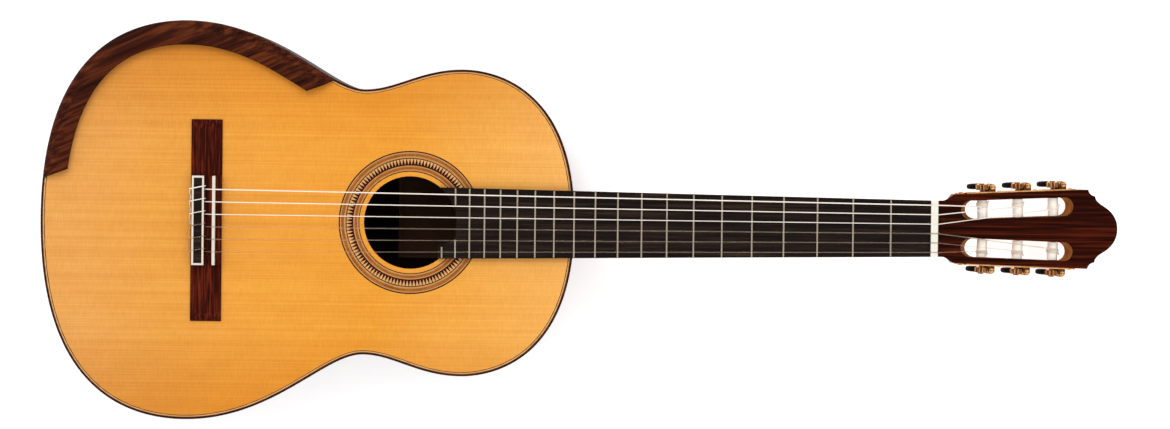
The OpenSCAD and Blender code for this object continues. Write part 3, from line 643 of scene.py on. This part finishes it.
def build_body():
    # The wedge's half widths as places along the outline, for each point of the profile
    wedge = [half / (3 * REACH_AFTER[0])
             for half in (GRAFT_HALF_BACK, GRAFT_HALF_TOP, GRAFT_HALF_TOP, GRAFT_HALF_BACK)]
    low = over_back(BACK_BINDING)
    high = at_height(-TOP_BINDING)
    side = [(0, low), (0, high), (RIB, high), (RIB, low)]
    for name, start, end in (("rib_bass", wedge, 4), ("rib_treble", 4, [8 - v for v in wedge])):
        shell = band(name + "_shell", side, start, end, 240, RIB_WOOD)
        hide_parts(name)
    graft = band("end_graft_inlay", side, [-v for v in wedge], wedge, 8, STRIPE)
    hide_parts("end_graft")
    top = [(0, high)]
    top += [(inset, at_height(rise)) for inset, rise in rounded_edge(BINDING_ROUND)]
    top += [(RIB, at_height(0)), (RIB, high)]
    binding = band("top_binding_rim", top, 0, 8, RING_STEPS, WOOD_RED)
    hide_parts("top_binding")
    back = [(RIB, low), (RIB, over_back(0))]
    back += [(inset, over_back(-rise)) for inset, rise in reversed(rounded_edge(BINDING_ROUND))]
    back += [(0, low)]
    binding = band("back_binding_rim", back, 0, 8, RING_STEPS, WOOD_RED)
    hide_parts("back_binding")


# Purfling lines as (inner edge's inset, material), from the binding inwards
PURFLING = [("dark_outer", RIB + 0.2, DARK_LINE), ("tan_outer", RIB + 0.75, STRIPE),
            ("light_middle", RIB + 1.2, STRIPE_LIGHT), ("tan_inner", RIB + 1.6, STRIPE),
            ("dark_inner", RIB + 2.0, DARK_LINE)]


def build_purfling():
    low = at_height(-TOP)
    high = at_height(PROUD)
    outer = RIB
    for name, inner, material in PURFLING:
        profile = [(outer, low), (outer, high), (inner, high), (inner, low)]
        line = band("purfling_" + name, profile, 0, 8, RING_STEPS, material)
        if name == "dark_outer":
            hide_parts("purfling")
        outer = inner


# ---- Rosette ----

ROSETTE_INNER = 45.9
ROSETTE_DEPTH = 1.2
TOOTH_COUNT = 115
TOOTH_ROOT = 53.1
TOOTH_TIP = 58.1
# Rings of the rosette as (name, outer radius), from the inside out
ROSETTE_RINGS = [("top_rim", 46.4), ("line_inner", 47.2), ("pale_inner", 48.5), ("brown_inner", 50.9),
                 ("pale_middle", 52.0), ("tooth_base", 53.2), ("ground_teeth", 58.1), ("line_tooth", 58.9),
                 ("pale_outer", 60.5), ("brown_outer", 63.0), ("pale_edge", 64.2), ("line_outer", 65.3)]


def ring_solid(inner, outer, low, high, steps=192):
    rows = turned([(outer, low), (outer, high), (inner, high), (inner, low)], steps)
    columns = [[row[j] for row in rows] for j in range(steps)]
    return loft(columns, closed=True)


def rosette_band():
    """Side-grain inlay: short radial flecks over concentric lines."""
    n = Nodes("rosette_brown")
    centre = place((HOLE_X, 0, 0))
    local = n.add("ShaderNodeVectorMath", {0: n.where, 1: centre}, operation="SUBTRACT").outputs[0]
    parts = n.add("ShaderNodeSeparateXYZ", {0: local}).outputs
    angle = n.math("ARCTAN2", parts[1], parts[0])
    radius = n.add("ShaderNodeVectorMath", {0: local}, operation="LENGTH").outputs["Value"]
    polar = n.add("ShaderNodeCombineXYZ", {"X": n.math("MULTIPLY", angle, 3.0),
                                           "Y": n.math("MULTIPLY", radius, 1500.0)}).outputs[0]
    flecks = n.add("ShaderNodeCombineXYZ", {"X": n.math("MULTIPLY", angle, 60.0),
                                            "Y": n.math("MULTIPLY", radius, 300.0)}).outputs[0]
    lines = n.noise(polar, detail=2)
    fleck = n.noise(flecks, detail=2)
    both = n.math("ADD", n.math("MULTIPLY", lines, 0.6), n.math("MULTIPLY", fleck, 0.4))
    colour = n.ramp(both, [(0.36, rgb(124, 64, 22)), (0.5, rgb(158, 90, 34)),
                           (0.64, rgb(186, 114, 50))])
    return n.finish(colour, 0.34, lines, 0.05, 0.00005, Specular_IOR_Level=0.15)


def build_rosette():
    """Rings round the soundhole, with a ring of dark teeth whose points face outwards."""
    brown = rosette_band()
    ground = plain("tooth_ground", rgb(234, 174, 106), 0.35, wear=0.12, Specular_IOR_Level=0.15)
    tooth = plain("tooth_dark", rgb(62, 14, 12), 0.35, Specular_IOR_Level=0.15)
    pale = grained_wood("pale_ring", rgb(180, 122, 66), rgb(196, 138, 80), rgb(210, 156, 98), streak=300,
                        fine=1200, shine=0.06, pores=0.1)
    finishes = {"top": TOP_WOOD, "line": DARK_LINE, "pale": pale, "brown": brown, "tooth": tooth,
                "ground": ground}
    shift = Matrix.Translation((HOLE_X, 0, 0))
    inner = ROSETTE_INNER
    for name, outer in ROSETTE_RINGS:
        solid = moved(ring_solid(inner, outer, -ROSETTE_DEPTH, PROUD), shift)
        ring = add_piece("rosette_" + name, *solid, finishes[name.split("_")[0]])
        if name == "top_rim":
            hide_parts("rosette")
        inner = outer
    teeth = []
    half = math.pi / TOOTH_COUNT
    for i in range(TOOTH_COUNT):
        a = 2 * half * i
        wide = half * 0.92
        narrow = half * 0.12
        plan = [(TOOTH_ROOT, a - wide), (TOOTH_TIP, a - narrow), (TOOTH_TIP, a + narrow),
                (TOOTH_ROOT, a + wide)]
        rows = [[(r * math.cos(b), r * math.sin(b), z) for r, b in plan] for z in (-0.3, 0.04)]
        teeth.append(loft(rows))
    piece = add_piece("rosette_teeth", *moved(joined(teeth), shift), tooth)


# ---- Armrest ----

ARMREST_WIDTH = 22.3
ARMREST_HEIGHT = 8.5
# Places along the outline of its tail end and its waist end, each at the outer and the inner edge
ARMREST_START = (0.085, 0.115)
ARMREST_END = (1.765, 1.655)
# Its section as (inset, height) shares of the width and height
ARMREST_SECTION = [(0.012, 0.006), (0.36, 0.006), (0.55, 0.14), (0.985, 0.36), (1, 0.42), (1, 0.86),
                   (0.985, 0.94), (0.955, 0.985), (0.86, 1), (0.68, 0.98), (0.48, 0.87), (0.3, 0.68),
                   (0.15, 0.44), (0.05, 0.23), (0.012, 0.12)]


def build_armrest():
    steps = 110
    rows = []
    for i in range(steps + 1):
        t = i / steps
        # The last few stations draw the section in a little, which rounds the ends' corners
        ends = smooth(min(i, steps - i) / 3 + 0.35)
        row = []
        for inset, height in ARMREST_SECTION:
            u = mix(mix(*ARMREST_START, inset), mix(*ARMREST_END, inset), t)
            edge = edge_point(u, inset * ARMREST_WIDTH)
            z = height * ARMREST_HEIGHT * (mix(0.93, 1, ends) if height > 0.4 else 1)
            row.append((edge.x, edge.y, z))
        rows.append(row)
    piece = add_piece("armrest_wood", *loft(rows), ARMREST_WOOD, angle=50)
    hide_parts("armrest")


# ---- Neck ----

# The heel's sections fan out round a pivot, in X and Z. Its inner curve has this radius at the end
HEEL_PIVOT = Vector((60, -60))
HEEL_INNER = 38
HEEL_BACK = -3
HEEL_HALF = 17.5
HEEL_BOTTOM_HALF = 12.5
HEEL_CAP = 2
# Depth of the neck without its fingerboard, at the body and at the nut
NECK_DEPTH_BODY = 17.5
NECK_DEPTH_NUT = 15.5
NECK_SIDES = 40


def head_point(u, y, h):
    """The point at distance u along the head's face and height h over it."""
    return Vector((NUT_X + NUT_THICKNESS + u * math.cos(HEAD_ANGLE) + h * math.sin(HEAD_ANGLE), y,
                   h * math.cos(HEAD_ANGLE) - u * math.sin(HEAD_ANGLE)))


def head_half(u):
    """Half width of the head at distance u: from the nut's width out to the straight sides."""
    return mix(NUT_WIDTH / 2, HEAD_START_HALF, smooth((u - 5) / 13))


def neck_half(x):
    return mix(TWELFTH_FRET_WIDTH, NUT_WIDTH, x / NUT_X) / 2


def neck_section(origin, down, half, depth, roundness):
    """A flat top edge and a rounded belly. Roundness 2 gives an ellipse, more a squarer belly."""
    row = []
    power = 2 / roundness
    for i in range(NECK_SIDES + 1):
        a = math.pi * i / NECK_SIDES
        across = Vector((0, half * signed_power(math.cos(a), power), 0))
        row.append(Vector(origin) + across + Vector(down) * depth * abs(math.sin(a)) ** power)
    return row


def neck_rows():
    """Sections from the head's straight part, along the neck and round the heel to its cap."""
    rows = []
    for i in range(21):
        u = HEAD_START * (1 - i / 20)
        depth = mix(NECK_DEPTH_NUT, 18, smooth(u / HEAD_START))
        # The sections' lower ends lean towards the head, so that the shoulder's wall falls back
        lean = 0.5 * (HEAD_START - u) * smooth(u / 8)
        down = head_point(lean / depth, 0, -1) - head_point(0, 0, 0)
        rows.append(neck_section(head_point(u, 0, 0), down, head_half(u), depth,
                                 mix(2.4, 9, smooth((u - 8) / 12))))
    for i in range(24):
        x = mix(NUT_X - 6, HEEL_PIVOT.x + 4, i / 23)
        t = (x - HEEL_PIVOT.x) / (NUT_X - HEEL_PIVOT.x)
        rows.append(neck_section((x, 0, 0), (0, 0, -1), neck_half(x),
                                 mix(NECK_DEPTH_BODY, NECK_DEPTH_NUT, t), 2.3))
    corner = math.atan((HEEL_PIVOT.x - HEEL_BACK) / -HEEL_PIVOT.y)
    for i in range(31):
        a = math.radians(3 * i)
        if a <= corner:
            x, z = HEEL_PIVOT.x + HEEL_PIVOT.y * math.tan(a), 0
        else:
            x, z = HEEL_BACK, HEEL_PIVOT.y + (HEEL_PIVOT.x - HEEL_BACK) / math.tan(a)
        reach = Vector((HEEL_PIVOT.x - x, HEEL_PIVOT.y - z))
        t = smooth((a - corner) / (math.pi / 2 - corner))
        radius = mix(-HEEL_PIVOT.y - NECK_DEPTH_BODY, HEEL_INNER, smooth(a / (math.pi / 2)))
        down = reach.normalized()
        rows.append(neck_section((x, 0, z), (down.x, 0, down.y),
                                 mix(neck_half(max(x, 0)), HEEL_HALF, t),
                                 reach.length - radius, mix(2.3, 1.8, t)))
    bottom = -HEEL_DEPTH + HEEL_CAP
    for i in range(1, 13):
        t = i / 12
        rows.append(neck_section((HEEL_BACK, 0, mix(HEEL_PIVOT.y, bottom, t)), (1, 0, 0),
                                 mix(HEEL_HALF, HEEL_BOTTOM_HALF, smooth(t)),
                                 HEEL_PIVOT.x - HEEL_BACK - HEEL_INNER + mix(0, 1.5, t),
                                 mix(1.8, 1.7, t)))
    return rows


def rib_face_x(y):
    """Where the ribs' outer face is at a small distance y from the centre line, at the heel."""
    low, high = 3.0, 4.0
    for _ in range(30):
        middle = (low + high) / 2
        if edge_point(middle, 0).y > abs(y):
            low = middle
        else:
            high = middle
    return edge_point(low, 0).x


def build_neck():
    """The neck, with its heel cut back to the ribs' curved face."""
    rows = neck_rows()
    for row in rows:
        for point in row:
            if point.x < 2:
                point.x = max(point.x, rib_face_x(point.y) + 0.02)
    piece = add_piece("neck_wood", *loft(rows), NECK_WOOD, angle=40)
    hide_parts("neck_shaft")


# ---- Tuning machines and strings ----

STRING_D = [0.72, 0.83, 1.03, 0.75, 0.9, 1.1]
# Distance from the head's side to where each string meets its roller, from the nut onwards
STRING_MEETS_ROLLER = [-12.5, -13.5, -16.8]
# A string lies this much clear of what it rests on
CLEAR = 0.05


def machine(n):
    """Side (1 bass, -1 treble) and place along the head of string n's machine."""
    return (1, 6 - n) if n > 3 else (-1, n - 1)


def side_matrix(side):
    """From the frame of one side of the head to the guitar's frame."""
    lean = Matrix.Translation((NUT_X + NUT_THICKNESS, 0, 0)) @ Matrix.Rotation(HEAD_ANGLE, 4, "Y")
    flip = Matrix.Diagonal((1, side, 1, 1))
    start = Matrix.Translation((HEAD_START, HEAD_START_HALF, 0))
    return lean @ flip @ start @ Matrix.Rotation(FLARE, 4, "Z")


def machine_matrix(n):
    side, k = machine(n)
    return side_matrix(side) @ Matrix.Translation((ROLLER_FIRST + k * ROLLER_PITCH, 0, ROLLER_DEPTH))


def worm_solid():
    """A single-start thread on a shaft that runs down to the button."""
    turns, sides, per_turn = 4, 28, 20
    rows = []
    for i in range(turns * per_turn + 1):
        turn = 2 * math.pi * (i / per_turn - turns / 2)
        z = WORM_LEAD * turn / (2 * math.pi)
        rows.append([(0.7 * math.cos(turn) + 2.6 * math.cos(a),
                      0.7 * math.sin(turn) + 2.6 * math.sin(a), z)
                     for a in (2 * math.pi * j / sides for j in range(sides))])
    shaft = loft(turned([(0.4, -37.5), (1.5, -37.2), (1.5, 7.5), (0.4, 7.8)], 24))
    return joined([loft(rows), shaft])


def slotted_dome(radius, low, high):
    """The two halves of a domed screw head, either side of a straight slot."""
    halves = []
    for side in (1, -1):
        rows = []
        for t in (0, 0.5, 0.85, 1):
            width = radius * math.sqrt(1 - 0.6 * t * t)
            row = []
            for i in range(17):
                a = math.pi * (0.06 + 0.88 * i / 16)
                across = max(width * math.sin(a), 0.16 * radius)
                row.append((width * math.cos(a), side * across, mix(low, high, t)))
            rows.append(row)
        halves.append(loft(rows))
    return joined(halves)


def cap_solid():
    """The slotted head on the worm's upper end."""
    rim = [(0.5, 6.95), (2.5, 6.95), (2.75, 7.2), (2.75, 7.8), (2.6, 7.95), (0.3, 7.95)]
    base = loft(turned(rim, 28))
    return joined([base, slotted_dome(2.6, 7.9, 8.6)])


def button_solid():
    """A flat oval knob with a softly rounded rim."""
    rows = []
    half, thick, tall = 8.4, 2.75, 8.4
    for i in range(25):
        a = math.pi * (i / 24 - 0.5) * 0.995
        z = tall * signed_power(math.sin(a), 0.92)
        rim = abs(math.cos(a)) ** 0.85
        rows.append([(half * rim * signed_power(math.cos(b), 0.6),
                      thick * rim**0.35 * signed_power(math.sin(b), 0.6), z)
                     for b in (2 * math.pi * j / 40 for j in range(40))])
    return loft(rows)


COLLAR = [(1.6, 8.9), (2.6, 8.9), (2.9, 9.4), (2.9, 10.2), (2.4, 10.8), (2.2, 12.2), (1.6, 12.4)]


def build_machines():
    """Each machine's worm and button, which turn together. Its gear and roller are CAD nodes."""
    for n in range(1, 7):
        matrix = machine_matrix(n)
        at_worm = matrix @ Matrix.Translation((WORM_OFFSET, WORM_OUT, 0))
        body = f"tuner_{n}"
        worm = add_piece(f"worm_gear_shaft_{n}", *moved(worm_solid(), at_worm), GOLD, body, 60)
        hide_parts(f"tuner_worm_{n}")
        cap = add_piece(f"worm_cap_{n}", *moved(cap_solid(), at_worm), GOLD, body, 50)
        at_button = at_worm @ Matrix.Translation((0, 0, -34.0))
        knob = add_piece(f"button_knob_{n}", *moved(button_solid(), at_button), BUTTON, body, 60)
        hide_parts(f"tuner_button_{n}")
        at_collar = at_button @ Matrix.Translation((0, 0, -1.2))
        collar = add_piece(f"button_collar_{n}", *moved(loft(turned(COLLAR, 28)), at_collar), GOLD,
                           body, 50)


# A screw at each end of the plate and one midway between each two rollers
SCREW_PLACES = [6, ROLLER_FIRST + 0.5 * ROLLER_PITCH, ROLLER_FIRST + 1.5 * ROLLER_PITCH, 114]
SCREW_SHANK = [(0.2, -5.5), (0.9, -4.6), (1.15, -4), (1.15, 0), (2.1, 0.02), (2.05, 0.2), (0.3, 0.22)]


def build_screws():
    """Domed screws with a straight slot, two plates' worth, as one group."""
    solids = []
    for side in (1, -1):
        for s in SCREW_PLACES:
            matrix = side_matrix(side) @ Matrix.Translation((s, PLATE, ROLLER_DEPTH))
            matrix = matrix @ Matrix.Rotation(math.radians(-90), 4, "X")
            solid = joined([loft(turned(SCREW_SHANK, 24)), slotted_dome(2.05, 0.18, 0.7)])
            solids.append(moved(solid, matrix))
    piece = add_piece("plate_screw_group", *joined(solids), GOLD, angle=50)
    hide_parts("plate_screws")


def string_points(n):
    """From the roller over the nut and the saddle, through the tie block and back over its top."""
    r = STRING_D[n - 1] / 2
    k = machine(n)[1]
    nut_y = (n - 3.5) * NUT_SPACING
    y = (n - 3.5) * SADDLE_SPACING
    start = machine_matrix(n) @ Vector((0, STRING_MEETS_ROLLER[k], ROLLER_R + r + CLEAR))
    top = 9.5 + r + CLEAR
    return [start, (NUT_X + NUT_THICKNESS + 0.25, nut_y, 8.4 + r), (NUT_X, nut_y, 8.4 + r),
            (SADDLE_X + 0.7, y, 12 + r), (SADDLE_X - 1.3, y, 12 + r), (SADDLE_X - 8.4, y, 5.2),
            (BRIDGE_BACK_X - 0.9, y, 5.2), (BRIDGE_BACK_X - 0.9, y + 0.4, 8.4),
            (SADDLE_X - 20.3, y + 0.7, top), (SADDLE_X - 8.9, y + 3.0, top),
            (SADDLE_X - 8.0, y + 3.1, 7.4)]


def winding_solid(n):
    """The turns on the roller, from the top outwards, and a short cut end."""
    r = STRING_D[n - 1] / 2
    k = machine(n)[1]
    turns, per_turn = 3.2, 24
    radius = ROLLER_R + r + CLEAR
    path = []
    for i in range(int(turns * per_turn) + 1):
        a = 2 * math.pi * i / per_turn
        out = STRING_MEETS_ROLLER[k] + i / per_turn * 2 * r * 1.06
        path.append(Vector((radius * math.sin(a), out, radius * math.cos(a))))
    last = path[-1]
    away = (last - path[-2]).normalized()
    path += [last + away * 1.5 + Vector((0, 0.3, 0)), last + away * 3.2 + Vector((0, 1.0, 0))]
    return tube(path, r, 10)


def build_strings():
    """Each string's run and free end stay with the guitar, and its turns go round with the roller."""
    for n in range(1, 7):
        r = STRING_D[n - 1] / 2
        material = WOUND if n > 3 else NYLON
        run = add_piece(f"string_run_{n}", *tube(rounded_path(string_points(n), 1.1), r), material)
        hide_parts(f"string_{n}")
        turns_material = WOUND if n > 3 else NYLON_TURNS
        turns = add_piece(f"string_turns_{n}", *moved(winding_solid(n), machine_matrix(n)),
                          turns_material, f"roller_{n}", 60)
        tail = add_piece(f"string_tail_{n}", *string_tail(n), material)


def string_tail(n):
    """The free end behind the tie block: wound strings lie along it, nylon ends in a melted bead."""
    r = STRING_D[n - 1] / 2
    y = (n - 3.5) * SADDLE_SPACING
    x = BRIDGE_BACK_X
    if n > 3:
        path = [Vector((x - 0.4 - 0.9 * r * math.sin(i / 3), y - 0.9 - i * 0.45,
                        7.2 - 0.18 * i + 0.5 * math.cos(i / 3))) for i in range(20)]
        return tube(path, r * 0.7, 10)
    path = rounded_path([(x - 0.8, y - 0.8, 7.6), (x - 1.4, y - 3.0, 7.2), (x - 1.6, y - 5.4, 7.0),
                         (x - 2.6, y - 6.6, 7.3)], 1.2)
    bead = loft(turned([(0.15, -0.85), (0.6, -0.6), (0.85, 0), (0.6, 0.6), (0.15, 0.85)], 16))
    return joined([tube(path, r * 0.8, 10), moved(bead, Matrix.Translation(path[-1]))])


# ---- Label and back strip ----


def build_label_border():
    """A plain ruled border on the label."""
    low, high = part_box("label")
    centre_x = ((low.x + high.x) / 2 - ORIGIN.x) / MM
    centre_y = (low.y + high.y) / 2 / MM
    half_x = (high.x - low.x) / 2 / MM - 3
    half_y = (high.y - low.y) / 2 / MM - 3
    line = 0.4
    steps = 12
    lines = []
    for inset in (0, 1.6):
        a, b = half_x - inset, half_y - inset
        for x0, x1, y0, y1 in ((-a, a, b - line, b), (-a, a, -b, -b + line),
                               (a - line, a, -b, b), (-a, -a + line, -b, b)):
            rows = []
            for i in range(steps + 1):
                y = centre_y + mix(y0, y1, i / steps)
                rows.append([(centre_x + x, y, back_z(centre_x + x, y, BACK + lift))
                             for x, lift in ((x0, 0.31), (x0, 0.36), (x1, 0.36), (x1, 0.31))])
            lines.append(loft(rows))
    piece = add_piece("label_border", *joined(lines), DARK_LINE)


def build_back_strip():
    """The inlaid strip down the middle seam of the back."""
    strips = (("strip_dark", 3.2, -0.03, DARK_LINE), ("strip_light", 2.2, -0.06, STRIPE))
    for name, half, lift, material in strips:
        rows = []
        for i in range(41):
            x = mix(TAIL_X + 2.4, -3, i / 40)
            rows.append([(x, -half, back_z(x, half, lift)), (x, half, back_z(x, half, lift)),
                         (x, half, back_z(x, half, 0.3)), (x, -half, back_z(x, half, 0.3))])
        piece = add_piece("back_" + name, *loft(rows), material)


# ---- Stage ----

# The camera's place in metres and its turn in radians, in the row frame
CAMERA_PLACE = (-0.015, 0.0798, 3.1)
CAMERA_TURN = (-0.02359, -0.00515, 0.01174)
# Focal length in widths of the picture
CAMERA_REACH = 3288.9 / 1170
# Brightness of the room for diffuse light, and for reflections by height, 0 level and 1 straight up
DOME = 0.7
LAMP_RING = [(0.0, 0.2), (0.45, 0.2), (0.62, 1.0), (0.86, 1.1), (0.94, 0.15), (1.0, 0.13)]
# Area lamps as (name, place, size, power)
LAMPS = [("key", (-0.6, 1.5, 2.4), 1.6, 28), ("fill", (0.9, -1.6, 2.2), 1.8, 17)]


def build_stage():
    """The pale floor under the guitar, and the camera."""
    floor_material = plain("floor", (0.95, 0.95, 0.95), 0.9, wear=0.005, Emission_Strength=0.45,
                           Emission_Color=(1, 1, 1, 1))
    mesh = bpy.data.meshes.new("floor")
    reach = 6
    corners = [(-reach, -reach, 0), (reach, -reach, 0), (reach, reach, 0), (-reach, reach, 0)]
    mesh.from_pydata(corners, [], [(0, 1, 2, 3)])
    mesh.materials.append(floor_material)
    floor = bpy.data.objects.new("floor", mesh)
    bpy.context.scene.collection.objects.link(floor)
    floor.location.z = cad_bounds[0][2] - 0.0005

    camera = bpy.data.cameras.new("camera")
    camera.sensor_width = 36
    camera.lens = 36 * CAMERA_REACH
    view = bpy.data.objects.new("camera", camera)
    view.location = CAMERA_PLACE
    view.rotation_euler = CAMERA_TURN
    bpy.context.scene.collection.objects.link(view)
    bpy.context.scene.camera = view


def build_light():
    """A white dome. Reflections see a darker room with a bright ring of lamps about the top."""
    world = bpy.data.worlds.new("studio")
    world.use_nodes = True
    tree = world.node_tree
    background = tree.nodes["Background"]
    background.inputs["Color"].default_value = (1, 1, 1, 1)
    path = tree.nodes.new("ShaderNodeLightPath")
    ray = tree.nodes.new("ShaderNodeTexCoord")
    parts = tree.nodes.new("ShaderNodeSeparateXYZ")
    ring = tree.nodes.new("ShaderNodeValToRGB")
    strength = tree.nodes.new("ShaderNodeMix")
    elements = ring.color_ramp.elements
    while len(elements) < len(LAMP_RING):
        elements.new(0.5)
    for element, (height, level) in zip(elements, LAMP_RING):
        element.position = height
        element.color = (level, level, level, 1)
    tree.links.new(ray.outputs["Generated"], parts.inputs[0])
    tree.links.new(parts.outputs["Z"], ring.inputs["Fac"])
    tree.links.new(path.outputs["Is Glossy Ray"], strength.inputs["Factor"])
    strength.inputs["A"].default_value = DOME
    tree.links.new(ring.outputs["Color"], strength.inputs["B"])
    tree.links.new(strength.outputs["Result"], background.inputs["Strength"])
    bpy.context.scene.world = world
    for name, lamp_place, size, power in LAMPS:
        light = bpy.data.lights.new(name, "AREA")
        light.size = size
        light.energy = power
        lamp = bpy.data.objects.new(name, light)
        lamp.location = lamp_place
        lamp.visible_glossy = False
        lamp.rotation_euler = (-Vector(lamp_place)).to_track_quat("-Z", "Y").to_euler()
        bpy.context.scene.collection.objects.link(lamp)
    bpy.context.scene.view_settings.view_transform = "Standard"


finish_cad_nodes()
build_body()
build_purfling()
build_rosette()
build_armrest()
build_neck()
build_machines()
build_screws()
build_strings()
build_label_border()
build_back_strip()
build_stage()
build_light()
